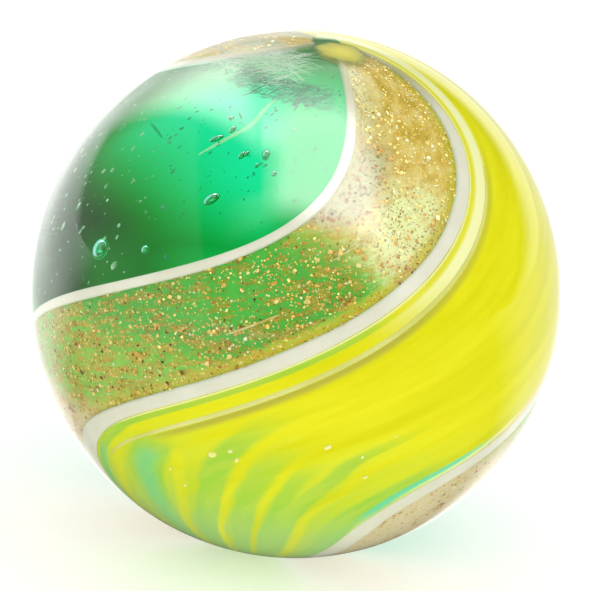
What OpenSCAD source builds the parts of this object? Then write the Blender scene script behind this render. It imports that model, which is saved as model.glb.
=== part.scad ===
// A handmade glass marble: a ball of clear green glass with bands of coloured glass melted
// flush into its skin. Four white threads swirl from pole to pole. Glittering goldstone fills
// the space between each pair of them, and streaky yellow glass one of the two spaces left.
// Sizes are in millimetres, angles in degrees. Latitude runs from the foot pole (-90) to the
// top pole (+90), longitude from +X towards +Y, and the swirl's axis is Z.

/* [Ball] */
// Diameter of the finished ball
ball_d = 22; // [16:0.5:40]

/* [White threads] */
// Longitude at which each thread runs flattest
thread_lon = [-124, -113, -34, 50]; // [-180:1:180]
// Latitude at which each thread runs flattest
thread_lat = [14, -9, -20, -10]; // [-40:1:40]
// Twist there, in degrees of longitude for each degree of latitude
thread_twist = [2, 1.8, 2.1, 2.2]; // [0.5:0.05:3]
// Longitude that each thread would gain from there up to the top pole, at most
thread_rise_angle = [50, 97, 250, 240]; // [30:1:260]
// Longitude that each thread would lose from there down to the foot, at most
thread_fall_angle = [100, 41, 29, 55]; // [20:1:120]
// Width of each thread over the upper half
thread_w = [0.42, 0.64, 0.8, 0.6]; // [0.3:0.02:1]
// Width of each thread over the lower half, where the trail was laid down thicker
thread_foot_w = [0.6, 1.3, 1.1, 1]; // [0.4:0.05:1.6]
// Depth of the threads below the skin
thread_depth = 0.5; // [0.3:0.05:1.5]

/* [Goldstone] */
// Depth of the two goldstone bands
goldstone_depth = 1; // [0.5:0.05:2.5]
// Greatest width of the goldstone sliver beside the third thread
sliver_w = 0.5; // [0.2:0.05:1]
// Ring at which the sliver starts and ends, counted from the foot
sliver_rings = [17, 26]; // [0:1:44]

/* [Yellow panel] */
// Depth of the yellow panel
yellow_depth = 0.7; // [0.4:0.05:1.5]
// Latitude at the tip of each gap that lets the green glass show
gap_tip_lat = [-19, -4, -5, -19]; // [-40:1:20]
// Share of the way across the panel at which each gap starts
gap_tip_share = [0.17, 0.22, 0.53, 1]; // [0.05:0.01:1]
// Share of the way across the panel at which each gap reaches the foot
gap_foot_share = [0.29, 0.47, 0.72, 0.92]; // [0.05:0.01:1]
// Half width of each gap, as a share of the way across the panel
gap_half_share = [0.055, 0.045, 0.03, 0.1]; // [0.01:0.005:0.1]
// Distance from the second thread to the pale thread beside it, middle to middle
pale_offset = 1.2; // [1:0.05:2]
// Width of the pale thread
pale_w = 0.3; // [0.15:0.05:0.5]
// Depth of the pale thread
pale_depth = 0.35; // [0.2:0.05:1]
// Width of the line of green glass left open beside the second thread
line_w = 0.22; // [0.1:0.02:0.4]

/* [Cut-off] */
// Diameter of the yellow spot where the cane was cut off
cutoff_d = 2.4; // [1.5:0.1:4]
// Depth of the spot
cutoff_depth = 0.6; // [0.3:0.05:1.5]
// Latitude of the middle of the spot
cutoff_lat = 83; // [78:1:90]
// Longitude of the middle of the spot
cutoff_lon = -65; // [-180:1:180]

/* [Hidden] */
$fn = 96;
ball_r = ball_d / 2;
// Every band starts and ends this far from the equator, just short of the poles
end_lat = 86;
// Stretch of latitude over which the threads grow from their upper to their lower width
thicken_from_lat = -12;
thicken_to_lat = -45;
// How fast a trail thins towards a pole
taper_rate = 3;
// Stretch of latitude over which a gap crosses from its tip's place to its foot's
gap_drift_angle = 38;
// Latitude at which a gap's tip has reached its full width, below the tip
gap_open_angle = 12;
// Ring at which the pale thread starts and ends
pale_rings = [15, 34];
// Ring at which the green line beside the second thread starts and ends
line_rings = [15, 27];
// Number of rings from end to end of a full-length band
rings = 44;
// A wedge reaches this many times the ball's radius
reach_ratio = 1.3;
cutter_top = ball_r * 1.1;
seam_turn_angle = -40;

green = [0.13, 0.62, 0.40, 0.6];
white = [0.90, 0.89, 0.85];
goldstone = [0.66, 0.47, 0.20];
yellow = [0.90, 0.88, 0.12];
pale = [0.90, 0.89, 0.58];

function tanh(x) = 1 - 2 / (exp(2 * x) + 1);
function mix(a, b, share) = a + (b - a) * share;
function smooth(x) = let (t = min(max(x, 0), 1)) t * t * (3 - 2 * t);
function arc(length) = length / ball_r * 180 / PI;
function direction(place) =
    [cos(place[0]) * cos(place[1]), cos(place[0]) * sin(place[1]), sin(place[0])];

// Middle line of thread k. Its longitude follows latitude along a hyperbolic tangent, so that it
// leaves each pole almost along a meridian and sweeps round fastest at thread_lat.
function swing(k, lat) = lat > thread_lat[k] ? thread_rise_angle[k] : thread_fall_angle[k];
function swept(k, lat) = tanh(thread_twist[k] * (lat - thread_lat[k]) / swing(k, lat));
function thread_path(k, lat) = thread_lon[k] + swing(k, lat) * swept(k, lat);
function lean(k, lat) = atan(cos(lat) * thread_twist[k] * (1 - pow(swept(k, lat), 2)));

// Place at a distance east of thread k's middle line, square to it, as [latitude, longitude]
function beside(k, lat, distance) = [
    lat - arc(distance) * sin(lean(k, lat)),
    thread_path(k, lat) + arc(distance) * cos(lean(k, lat)) / cos(lat),
];
function thread_half(k, lat) =
    mix(thread_w[k], thread_foot_w[k], smooth((thicken_from_lat - lat) / (thicken_from_lat - thicken_to_lat)))
    * tanh(taper_rate * cos(lat)) / 2;
function thread_east(k, lat) = beside(k, lat, thread_half(k, lat));
function thread_west(k, lat) = beside(k, lat, -thread_half(k, lat));

// Place at a share of the way across the yellow panel, from the second thread to the third
function across(lat, share) = mix(thread_east(1, lat), thread_west(2, lat), share);
function gap_at(g, lat) =
    mix(gap_tip_share[g], gap_foot_share[g], smooth((gap_tip_lat[g] - lat) / gap_drift_angle));
function gap_side(g, lat, side) =
    let (open = smooth((gap_tip_lat[g] - lat) / gap_open_angle))
    across(lat, gap_at(g, lat) + side * gap_half_share[g] * mix(0.1, 1, open));

// Latitudes of the rings of a band, from one ring to another. Bands that meet share their rings,
// so that their walls match.
function ring_lats(from = 0, to = rings) = [for (i = [from:to]) mix(-end_lat, end_lat, i / rings)];

// Wedge from the ball's centre outwards, between two edges given as lists of places that run
// from the foot end to the top end. Its four sides are flat walls through the centre.
module wedge(west, east, columns = 1) {
    last = len(west) - 1;
    width = columns + 1;
    function at(i, j) = 1 + i * width + j;
    points = [
        [0, 0, 0],
        for (i = [0:last], j = [0:columns])
            reach_ratio * ball_r * direction(mix(west[i], east[i], j / columns)),
    ];
    cap = [
        for (i = [0:last - 1], j = [0:columns - 1]) each [
            [at(i, j), at(i + 1, j), at(i + 1, j + 1)],
            [at(i, j), at(i + 1, j + 1), at(i, j + 1)],
        ],
    ];
    sides = [
        for (i = [0:last - 1]) each [
            [at(i + 1, 0), at(i, 0), 0],
            [at(i, columns), at(i + 1, columns), 0],
        ],
    ];
    ends = [
        for (j = [0:columns - 1]) each [
            [at(0, j), at(0, j + 1), 0],
            [at(last, j + 1), at(last, j), 0],
        ],
    ];
    polyhedron(points, concat(cap, sides, ends));
}

// The part of a wedge or column between a floor, at a depth below the skin, and a top. A body
// ends at the skin. A cutter for the body's seat runs on outwards, to cutter_top.
module layer(depth, top) {
    difference() {
        intersection() {
            sphere(r = top);
            children();
        }
        sphere(r = ball_r - depth);
    }
}

// Column square to the skin that holds the cut-off spot
module cutoff_column() {
    rotate([0, 90 - cutoff_lat, cutoff_lon])
        translate([0, 0, ball_r / 2])
            cylinder(h = ball_r, d = cutoff_d);
}

module white_thread(k, top = ball_r) {
    lats = ring_lats();
    color(white)
        difference() {
            layer(thread_depth, top)
                wedge([for (lat = lats) thread_west(k, lat)], [for (lat = lats) thread_east(k, lat)]);
            cutoff_column();
        }
}

module goldstone_band(west_thread, top = ball_r) {
    lats = ring_lats();
    color(goldstone)
        difference() {
            layer(goldstone_depth, top)
                wedge(
                    [for (lat = lats) thread_east(west_thread, lat)],
                    [for (lat = lats) thread_west(west_thread + 1, lat)],
                    3
                );
            cutoff_column();
        }
}

// The sliver lies against the third thread, and tapers to both ends
function sliver_west(lat, low, high) =
    let (width = sliver_w * mix(0.1, 1, pow(sin(180 * (lat - low) / (high - low)), 2)))
    beside(2, lat, -thread_half(2, lat) - width);

module goldstone_sliver(top = ball_r) {
    lats = ring_lats(sliver_rings[0], sliver_rings[1]);
    color(goldstone)
        layer(thread_depth, top)
            wedge(
                [for (lat = lats) sliver_west(lat, lats[0], lats[len(lats) - 1])],
                [for (lat = lats) thread_west(2, lat)]
            );
}

module pale_wedge() {
    lats = ring_lats(pale_rings[0], pale_rings[1]);
    wedge(
        [for (lat = lats) beside(1, lat, pale_offset - pale_w / 2)],
        [for (lat = lats) beside(1, lat, pale_offset + pale_w / 2)]
    );
}

module pale_thread(top = ball_r) {
    color(pale)
        layer(pale_depth, top) pale_wedge();
}

// Openings in the yellow panel. Through the gaps and the line the green glass comes up to the
// skin. Those that open towards a thread run on to its middle line, clear of the panel's edge.
module gap_wedge(g) {
    lats = [for (i = [0:20]) mix(-end_lat - 2, gap_tip_lat[g], i / 20)];
    wedge([for (lat = lats) gap_side(g, lat, -1)], [for (lat = lats) gap_side(g, lat, 1)]);
}

module line_wedge() {
    lats = ring_lats(line_rings[0], line_rings[1]);
    wedge(
        [for (lat = lats) beside(1, lat, 0)],
        [for (lat = lats) beside(1, lat, thread_half(1, lat) + line_w)]
    );
}

module sliver_wedge() {
    lats = ring_lats(sliver_rings[0], sliver_rings[1]);
    wedge(
        [for (lat = lats) sliver_west(lat, lats[0], lats[len(lats) - 1])],
        [for (lat = lats) beside(2, lat, 0)]
    );
}

module yellow_glass_panel(top = ball_r) {
    lats = ring_lats();
    color(yellow)
        difference() {
            layer(yellow_depth, top)
                wedge([for (lat = lats) thread_east(1, lat)], [for (lat = lats) thread_west(2, lat)], 6);
            for (g = [0:len(gap_tip_lat) - 1]) gap_wedge(g);
            line_wedge();
            sliver_wedge();
            pale_wedge();
            cutoff_column();
        }
}

module yellow_cutoff(top = ball_r) {
    color(yellow)
        layer(cutoff_depth, top) cutoff_column();
}

// One of the glasses in the skin, by its place in the order of cutting their seats
module coloured_glass(place, top) {
    if (place < 4) white_thread(place, top);
    if (place == 4) goldstone_band(0, top);
    if (place == 5) goldstone_band(2, top);
    if (place == 6) goldstone_sliver(top);
    if (place == 7) yellow_glass_panel(top);
    if (place == 8) pale_thread(top);
    if (place == 9) yellow_cutoff(top);
}

// The ball with its seats cut one after another. The sphere is turned so that its own two
// poles and the seam between them lie where the coloured glasses take the skin away.
module carved_ball(cuts) {
    if (cuts == 0) rotate([90, 0, seam_turn_angle]) sphere(r = ball_r);
    else
        difference() {
            carved_ball(cuts - 1);
            coloured_glass(cuts - 1, cutter_top);
        }
}

module green_glass_ball() {
    color(green) carved_ball(10);
}

green_glass_ball();
white_thread(0);  // white_thread_1
white_thread(1);  // white_thread_2
white_thread(2);  // white_thread_3
white_thread(3);  // white_thread_4
goldstone_band(0);  // goldstone_band_1
goldstone_band(2);  // goldstone_band_2
goldstone_sliver();
yellow_glass_panel();
pale_thread();
yellow_cutoff();
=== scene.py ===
"""A handmade swirled glass marble, in metres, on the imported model's frame.

The ball is clear green glass. White threads, bands of copper-flecked goldstone and a streaky
yellow panel lie melted into its skin and swirl from pole to pole. Places on the ball are given
by latitude and longitude in degrees, with the swirl's axis along Z.
"""

import bpy
import numpy as np
from mathutils import Matrix


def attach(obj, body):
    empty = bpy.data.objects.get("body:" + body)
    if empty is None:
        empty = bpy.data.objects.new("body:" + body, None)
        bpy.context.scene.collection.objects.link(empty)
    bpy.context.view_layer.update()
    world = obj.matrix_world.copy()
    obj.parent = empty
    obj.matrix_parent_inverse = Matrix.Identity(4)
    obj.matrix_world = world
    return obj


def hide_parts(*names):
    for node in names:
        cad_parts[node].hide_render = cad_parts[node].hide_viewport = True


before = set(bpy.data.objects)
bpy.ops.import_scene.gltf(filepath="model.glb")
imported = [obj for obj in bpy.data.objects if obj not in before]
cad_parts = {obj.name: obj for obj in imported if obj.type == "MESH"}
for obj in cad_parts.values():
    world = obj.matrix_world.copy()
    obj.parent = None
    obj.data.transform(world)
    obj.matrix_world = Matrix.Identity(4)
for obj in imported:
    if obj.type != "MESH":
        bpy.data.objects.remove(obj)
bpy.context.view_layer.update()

# --- Green glass ball ---
# The gather that everything else is rolled into: one ball of clear green glass, turned in a
# wooden block while hot and then fire-polished, so its skin is bright but not quite even.
mm = 0.001
ball_r = 11 * mm
skin_wave = 0.012 * mm
glass_ior = 1.5
green_passed = (0.012, 0.952, 0.741)
green_density = 225.0


def on_ball(lat, lon, r):
    """Points at a latitude, a longitude and a distance from the centre: the usual
    spherical coordinates, with Z times the sine of the latitude."""
    lat, lon, r = np.broadcast_arrays(np.radians(lat), np.radians(lon), r)
    flat = np.cos(lat) * r
    return np.stack([flat * np.cos(lon), flat * np.sin(lon), np.sin(lat) * r], axis=-1)


def unit(vectors):
    """Each vector over its own length."""
    return vectors / np.linalg.norm(vectors, axis=-1, keepdims=True)


def full_turn(steps):
    """Angles at even steps of a full turn."""
    return np.linspace(0, 2 * np.pi, steps, endpoint=False)


def skin_faces(rows, steps):
    """Triangles of a closed skin over rows of rings: two for each cell between two rings and
    two steps, and a fan at each end to one of the two points that follow the rings."""
    here = np.arange(rows - 1)[:, None] * steps + np.arange(steps)
    along = np.arange(rows - 1)[:, None] * steps + (np.arange(steps) + 1) % steps
    ring = np.arange(steps)
    turned = (ring + 1) % steps
    last = (rows - 1) * steps
    parts = (
        np.stack([here, along, along + steps], -1),
        np.stack([here, along + steps, here + steps], -1),
        np.stack([turned, ring, np.full(steps, rows * steps)], -1),
        np.stack([ring + last, turned + last, np.full(steps, rows * steps + 1)], -1),
    )
    return np.concatenate([part.reshape(-1, 3) for part in parts])


def closed_loops(name, loops, material, around=None):
    """A closed piece over a row of loops of points, loops[row, step], with an end point at
    the mean of its first loop and of its last. around gives other values per point."""
    rows, steps = loops.shape[:2]

    def with_ends(grid):
        flat = grid.reshape(rows * steps, *grid.shape[2:])
        return np.concatenate([flat, grid[:1].mean(1), grid[-1:].mean(1)])

    values = {key: with_ends(grid) for key, grid in (around or {}).items()}
    return mesh_piece(name, with_ends(loops), skin_faces(rows, steps), material, values)


def mesh_piece(name, points, faces, material, values=None, smooth=True):
    """An object at the origin from arrays of points and triangles, with its faces turned
    outwards, and one named number for each point where values are given."""
    corner = points[faces]
    if np.einsum("ij,ij->", corner[:, 0], np.cross(corner[:, 1], corner[:, 2])) < 0:
        faces = faces[:, ::-1]
    mesh = bpy.data.meshes.new(name)
    mesh.vertices.add(len(points))
    mesh.vertices.foreach_set("co", np.ascontiguousarray(points, dtype=np.float32).ravel())
    mesh.loops.add(faces.size)
    mesh.loops.foreach_set("vertex_index", np.ascontiguousarray(faces, dtype=np.int32).ravel())
    mesh.polygons.add(len(faces))
    mesh.polygons.foreach_set("loop_start", np.arange(0, faces.size, 3, dtype=np.int32))
    mesh.update(calc_edges=True)
    mesh.polygons.foreach_set("use_smooth", np.full(len(faces), smooth))
    for key, column in (values or {}).items():
        held = mesh.attributes.new(key, "FLOAT", "POINT")
        held.data.foreach_set("value", column.astype(np.float32))
    mesh.materials.append(material)
    return put_in_scene(name, mesh)


def put_in_scene(name, data):
    """An object of the scene that shows a mesh or a camera."""
    made = bpy.data.objects.new(name, data)
    bpy.context.scene.collection.objects.link(made)
    return made


def sign(operation, turned=False):
    """A sign such as plus or times between two readings: a Math node over the two, in the
    order in which they stand."""
    return lambda one, other: maths(operation, *((other, one) if turned else (one, other)))


class Reading:
    """What one node gives out at each point. Readings and numbers are joined by signs."""

    __add__, __radd__ = sign("ADD"), sign("ADD", True)
    __sub__, __rsub__ = sign("SUBTRACT"), sign("SUBTRACT", True)
    __mul__, __truediv__, __pow__ = sign("MULTIPLY"), sign("DIVIDE"), sign("POWER")

    def __init__(self, socket):
        self.socket = socket
        self.tree = socket.id_data


def new_node(tree, kind, inputs=None, **settings):
    """A node with its settings, and its inputs each given a number, colour or reading."""
    made = tree.nodes.new("ShaderNode" + kind)
    for key, value in settings.items():
        setattr(made, key, value)
    for key, value in (inputs or {}).items():
        socket = made.inputs[key]
        if isinstance(value, Reading):
            tree.links.new(value.socket, socket)
        else:
            socket.default_value = (*value, 1) if socket.type == "RGBA" else value
    return made


def node(tree, kind, inputs=None, output=0, **settings):
    """The reading of one output of a new node."""
    return Reading(new_node(tree, kind, inputs, **settings).outputs[output])


def maths(operation, *values):
    """The reading of a Math node over one or more values."""
    tree = next(value.tree for value in values if isinstance(value, Reading))
    return node(tree, "Math", dict(enumerate(values)), operation=operation)


def greatest(*values):
    """The largest of several readings and numbers."""
    result = values[0]
    for value in values[1:]:
        result = maths("MAXIMUM", result, value)
    return result


def new_material(name):
    """An empty material and its tree of nodes."""
    material = bpy.data.materials.new(name)
    material.use_nodes = True
    material.node_tree.nodes.clear()
    return material, material.node_tree


def finish(surface, **inside):
    """Gives a material its surface, and what lies inside it where that is named."""
    new_node(surface.tree, "OutputMaterial", {"Surface": surface, **inside})


def ray(tree, kind):
    """1 for rays of one kind, such as Camera or Shadow, and 0 for the others."""
    return node(tree, "LightPath", output=f"Is {kind} Ray")


def mix_surface(share, first, second):
    """The first surface where the share is 0 and the second where it is 1. None stands for
    nothing at all to see."""
    tree = (second or first).tree
    first, second = (part or node(tree, "BsdfTransparent") for part in (first, second))
    return node(tree, "MixShader", {0: share, 1: first, 2: second})


def see_through(surface):
    """The surface for rays that look at it, and plain clearness for rays that only carry
    light to what lies inside, so that the glass within is lit as evenly as it looks."""
    dull = ray(surface.tree, "Glossy") - ray(surface.tree, "Singular")
    lit = greatest(ray(surface.tree, "Shadow"), ray(surface.tree, "Diffuse"), dull)
    return mix_surface(lit, surface, None)


green_glass, tree = new_material("clear green glass")
polished = node(
    tree,
    "BsdfPrincipled",
    {"Base Color": (1, 1, 1), "Roughness": 0.0, "IOR": glass_ior, "Transmission Weight": 1.0},
)
green_depth = node(tree, "VolumeAbsorption", {"Color": green_passed, "Density": green_density})
finish(see_through(polished), Volume=green_depth)

ball_lat = np.linspace(-89, 89, 170)[:, None]
ball_lon = np.arange(0, 360, 1.5)[None, :]
wave = np.sin(np.radians(3 * ball_lat + 2 * ball_lon))
wave = wave * np.sin(np.radians(2 * ball_lat - 3 * ball_lon) + 1)
ripple = 0.6 * np.sin(np.radians(7 * ball_lat + 5 * ball_lon) + 2)
wave = (wave + ripple * np.cos(np.radians(ball_lat))) * np.cos(np.radians(ball_lat))
skin_r = ball_r - skin_wave * (1 + 0.5 * wave)
glass_ball = closed_loops("green_glass_ball", on_ball(ball_lat, ball_lon, skin_r), green_glass)
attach(glass_ball, "root")
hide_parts("green_glass_ball")

# --- White threads ---
# Four trails of opaque white glass, laid on from one end of the gather to the other and
# twisted with it. They are thicker where the trail was started, and lie flush in the skin.
cover = 0.03 * mm
thread_lon = (-124, -113, -34, 50)
thread_lat = (14, -9, -20, -10)
thread_twist = (2.0, 1.8, 2.1, 2.2)
thread_rise = (50, 97, 250, 240)
thread_fall = (100, 41, 29, 55)
thread_w = (0.42 * mm, 0.64 * mm, 0.8 * mm, 0.6 * mm)
thread_foot_w = (0.6 * mm, 1.3 * mm, 1.1 * mm, 1.0 * mm)
thread_depth = 0.5 * mm
end_lat = 86
top_tint_from = 9.3 * mm
top_tint_to = 10.5 * mm
top_sheer = 0.45


def swept(k, lat):
    """How far thread k has turned, from -1 to 1: the hyperbolic tangent of its twist times
    the latitude above its flattest place, over the turn that it makes on that side."""
    swing = np.where(lat > thread_lat[k], thread_rise[k], thread_fall[k])
    return swing, np.tanh(thread_twist[k] * (lat - thread_lat[k]) / swing)


def thread_path(k, lat):
    """Longitude of the middle line of thread k at a latitude."""
    swing, share = swept(k, lat)
    return thread_lon[k] + swing * share


def beside(k, lat, distance):
    """Latitude and longitude at a distance east of thread k, square to it. The lean of the
    thread is the arc tangent of its slope, which is twist times one less share squared."""
    share = swept(k, lat)[1]
    lean = np.arctan(np.cos(np.radians(lat)) * thread_twist[k] * (1 - share**2))
    arc = np.degrees(distance / ball_r)
    side = thread_path(k, lat) + arc * np.cos(lean) / np.cos(np.radians(lat))
    return lat - arc * np.sin(lean), side


def thread_half(k, lat):
    """Half the width of thread k: a smooth step from its upper to its lower width, thinned
    towards the poles by the hyperbolic tangent of three times the cosine of the latitude."""
    step = np.clip((-12 - lat) / 33, 0, 1)
    step = step * step * (3 - 2 * step)
    width = thread_w[k] + (thread_foot_w[k] - thread_w[k]) * step
    return width * np.tanh(3 * np.cos(np.radians(lat))) / 2


def noise(tree, place, scale, detail=2.0, roughness=0.5):
    """A cloudy noise between 0 and 1, most of it near the middle."""
    look = {"Vector": place, "Scale": scale, "Detail": detail, "Roughness": roughness}
    return node(tree, "TexNoise", look)


def own_place(tree):
    """Where a point lies in its own piece."""
    return node(tree, "TexCoord", output="Object")


def colour_ramp(value, stops):
    """A colour between those of the stops (place, colour) on either side of the value."""
    made = new_node(value.tree, "ValToRGB", {"Fac": value})
    line = made.color_ramp.elements
    line.remove(line[-1])
    for index, (at, colour) in enumerate(stops):
        stop = line[0] if index == 0 else line.new(at)
        stop.position = at
        stop.color = (*colour, 1)
    return Reading(made.outputs[0])


def mix_colour(share, first, second):
    """The first colour where the share is 0 and the second where it is 1."""
    return node(share.tree, "Mix", {0: share, 6: first, 7: second}, 2, data_type="RGBA")


def overlaid(colour, *layers):
    """A colour with other colours laid over it in turn, each by its own amount."""
    for amount, over in layers:
        colour = mix_colour(amount, colour, over)
    return colour


def opaque(colour, roughness=0.5):
    """Glass too full of colour to see into. Its shine comes from the clear skin over it."""
    look = {"Base Color": colour, "Roughness": roughness, "Specular IOR Level": 0.0}
    return node(colour.tree, "BsdfPrincipled", look)


white_glass, tree = new_material("opaque white glass")
cloud = noise(tree, own_place(tree), 420.0, 4.0, 0.6)
white = colour_ramp(cloud, ((0.3, (0.74, 0.72, 0.56)), (0.7, (0.82, 0.80, 0.66))))
height = node(tree, "SeparateXYZ", {0: own_place(tree)}, "Z")
# Towards the top pole the white turns yellower and partly see-through.
top_tint = node(tree, "MapRange", {"Value": height, "From Min": top_tint_from, "From Max": top_tint_to})
white = opaque(mix_colour(top_tint, white, (0.70, 0.64, 0.38)))
finish(mix_surface(top_tint * top_sheer, white, None))

thread_lats = np.linspace(-end_lat, end_lat, 300)[:, None]
turn = full_turn(24)[None, :]


def squared(wave):
    """A wave with fuller shoulders: its size to the power 0.6."""
    return np.sign(wave) * np.abs(wave) ** 0.6


for k in range(4):
    uneven = 1 + 0.04 * np.sin(np.radians(thread_lats * 9 + 70 * k))
    uneven = uneven + 0.03 * np.sin(np.radians(thread_lats * 23))
    sideways = thread_half(k, thread_lats) * uneven * squared(np.cos(turn))
    upright = thread_depth / 2 * squared(np.sin(turn))
    thread_r = ball_r - cover - thread_depth / 2 + upright
    loops = on_ball(*beside(k, thread_lats, sideways), thread_r)
    thread = closed_loops(f"white_thread_{k + 1}", loops, white_glass)
    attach(thread, "root")
    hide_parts(f"white_thread_{k + 1}")

# --- Yellow panel ---
# A broad stripe of lemon-yellow glass between the second and third threads. It was laid on
# as several cane ends, which have drawn apart towards the foot and let the green show.
yellow_depth = 0.7 * mm
tucked = 0.05 * mm


def strip_edges(k):
    """The west and the east edge of the strip from thread k to the next, each giving a
    latitude and a longitude for a latitude along its thread, tucked a little under it."""

    def west(lat):
        return beside(k, lat, thread_half(k, lat) - tucked)

    def east(lat):
        return beside(k + 1, lat, -thread_half(k + 1, lat) + tucked)

    return west, east


def band_loops(west, east, top, floor, outer=150, inner=24, rows=440):
    """Loops round a band between two edges: outer even steps across its top from west to
    east and inner ones back across its floor, with the share of the way across and the
    latitude at each."""
    lat = np.linspace(-end_lat, end_lat, rows)[:, None]
    share = np.concatenate([np.linspace(0, 1, outer), np.linspace(1, 0, inner)])[None, :]
    height = np.concatenate([np.full(outer, top), np.full(inner, floor)])[None, :]
    (lat_w, lon_w), (lat_e, lon_e) = west(lat), east(lat)
    lats = lat_w + (lat_e - lat_w) * share
    lons = lon_w + (lon_e - lon_w) * share
    return on_ball(lats, lons, height), share + 0 * lats, lats


def nearest(points, k):
    """Distance in millimetres from each point to the middle line of thread k: the shortest
    of those to a close row of points along it."""
    lat = np.linspace(-88, 88, 700)
    line = on_ball(lat, thread_path(k, lat), 1.0)
    way = unit(points.reshape(-1, 3))
    closest = np.concatenate([(part @ line.T).max(1) for part in np.array_split(way, 40)])
    return (np.arccos(np.clip(closest, -1, 1)) * ball_r / mm).reshape(points.shape[:-1])


def per_point(tree, name):
    """A number that the mesh holds for each of its points."""
    return node(tree, "Attribute", output="Fac", attribute_name=name)


def ramp(value, low, high, low_to=0.0, high_to=1.0):
    """A smooth step of the value from low to high, given between two results."""
    reach = {"Value": value, "From Min": low, "From Max": high, "To Min": low_to, "To Max": high_to}
    return node(value.tree, "MapRange", reach, interpolation_type="SMOOTHSTEP")


def soft_between(value, low, high, fade):
    """1 where the value lies between low and high, and 0 outside, over a smooth fade."""
    return ramp(value, low - fade, low + fade) * ramp(value, high - fade, high + fade, 1.0, 0.0)


def curve_through(value, points):
    """A smooth curve through points (value, result)."""
    low, high = points[0][0], points[-1][0]
    share = node(value.tree, "MapRange", {"Value": value, "From Min": low, "From Max": high})
    made = new_node(value.tree, "FloatCurve", {"Value": share})
    line = made.mapping.curves[0]
    scaled = [((at - low) / (high - low), result) for at, result in points]
    line.points[0].location = scaled[0]
    line.points[-1].location = scaled[-1]
    for place in scaled[1:-1]:
        line.points.new(*place)
    made.mapping.update()
    return Reading(made.outputs[0])


def streak(share, lat, points, half, fade, reach=6):
    """A streak along a curve of points (latitude, share of the way across). It is 1 within
    half a width of the curve, fades over fade, and runs out over the last reach degrees."""
    top = points[-1][0]
    off = maths("ABSOLUTE", share - curve_through(lat, points))
    return ramp(off, half - fade, half + fade, 1.0, 0.0) * ramp(lat, top, top - reach)


def streaks(share, lat, rows):
    """The greatest of several streaks, each times its own amount."""
    found = (
        streak(share, lat, points, half, fade, *reach) * amount
        for points, half, fade, amount, *reach in rows
    )
    return greatest(*found)


# Where the canes have drawn apart the yellow is thin. Each opening has points (latitude,
# share of the way across), a half width, a soft edge, how thin it is and its upper run-out.
openings = (
    (((-86, 0.31), (-47, 0.30), (-41, 0.272), (-35, 0.235), (-30, 0.195), (-24.5, 0.16),
      (-19, 0.12)), 0.055, 0.022, 1.0, 6),
    (((-86, 0.475), (-45, 0.473), (-35.4, 0.452), (-28.4, 0.396), (-22, 0.326), (-16.5, 0.272),
      (-11, 0.225), (-5, 0.20)), 0.036, 0.016, 0.85, 15),
    (((-86, 0.61), (-41.5, 0.602), (-32.7, 0.552), (-26.4, 0.498), (-21.3, 0.438), (-14, 0.37)),
     0.036, 0.018, 0.5, 10),
    (((-86, 0.715), (-46, 0.71), (-38.8, 0.686), (-31, 0.642), (-23.7, 0.562), (-18, 0.51)),
     0.03, 0.016, 0.5, 8),
    (((-86, 0.76), (-40.7, 0.748), (-32, 0.712), (-28.5, 0.696), (-23.6, 0.654), (-18, 0.592),
      (-12, 0.58), (-7, 0.575)), 0.024, 0.012, 0.9, 15),
    (((-86, 0.955), (-46.5, 0.95), (-37.8, 0.922), (-30, 0.918), (-24.4, 0.91), (-17, 0.86)),
     0.042, 0.02, 0.85, 10),
    (((-86, 0.03), (-50, 0.03), (-36, 0.035), (-28, 0.026), (-18, 0.018)), 0.016, 0.008, 1.0, 6),
)
# Bright lines of the deeper yellow lie between the openings, given in the same way.
yellow_lines = (
    (((-86, 0.53), (-43, 0.53), (-34, 0.502), (-27, 0.446), (-20.6, 0.368), (-16.3, 0.322),
      (-11, 0.28)), 0.014, 0.011, 0.75),
    (((-86, 0.66), (-44.4, 0.652), (-35.4, 0.626), (-28, 0.574), (-22.4, 0.504), (-15, 0.43)),
     0.014, 0.012, 0.7),
    (((-86, 0.83), (-47, 0.82), (-37.5, 0.786), (-31.6, 0.776), (-26, 0.746), (-20, 0.68),
      (-15, 0.65)), 0.02, 0.014, 0.65),
    (((-86, 0.4), (-47, 0.385), (-38, 0.372), (-31, 0.325), (-25, 0.25), (-19, 0.17)),
     0.02, 0.012, 0.6),
    (((-86, 0.12), (-43, 0.112), (-35, 0.112), (-28, 0.075), (-22, 0.05)), 0.024, 0.014, 0.6),
)
mint_edge = ((-86, 0.03), (-50, 0.03), (-36, 0.035), (-26, 0.026))
turquoise_edge = (
    (-60, 0.98), (-42, 0.972), (-35, 0.972), (-31.8, 0.968),
    (-28.7, 0.960), (-24, 0.955), (-15, 0.955),
)

yellow_glass, tree = new_material("streaky lemon-yellow glass")
share = per_point(tree, "share")
lat = per_point(tree, "latitude")
second = per_point(tree, "from_second")
third = per_point(tree, "from_third")
along = node(tree, "CombineXYZ", {"X": share, "Y": lat * 0.005})
drawn = noise(tree, along, 16.0, 5.0, 0.6)
broad = noise(tree, along, 5.0, 2.0, 0.5)
shifted = share + (drawn - 0.5) * 0.035

# How thin the yellow is: the openings, a green line beside the second thread, and a general
# thinning towards the foot.
green_line = soft_between(second, 0.36, 0.60, 0.05) * soft_between(lat, -24, 13.5, 3)
thin = greatest(streaks(shifted, lat, openings), green_line * 0.95)
towards_foot = ramp(lat, -8.0, -42.0, 0.0, 0.7)
loose = ramp(lat, 0.0, -28.0, 0.1, 1.0) * ((drawn - 0.5) * 1.3)
thin = (thin + towards_foot + loose) * (1.0 - streaks(shifted, lat, yellow_lines))
thin = node(tree, "Clamp", {"Value": thin})

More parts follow.
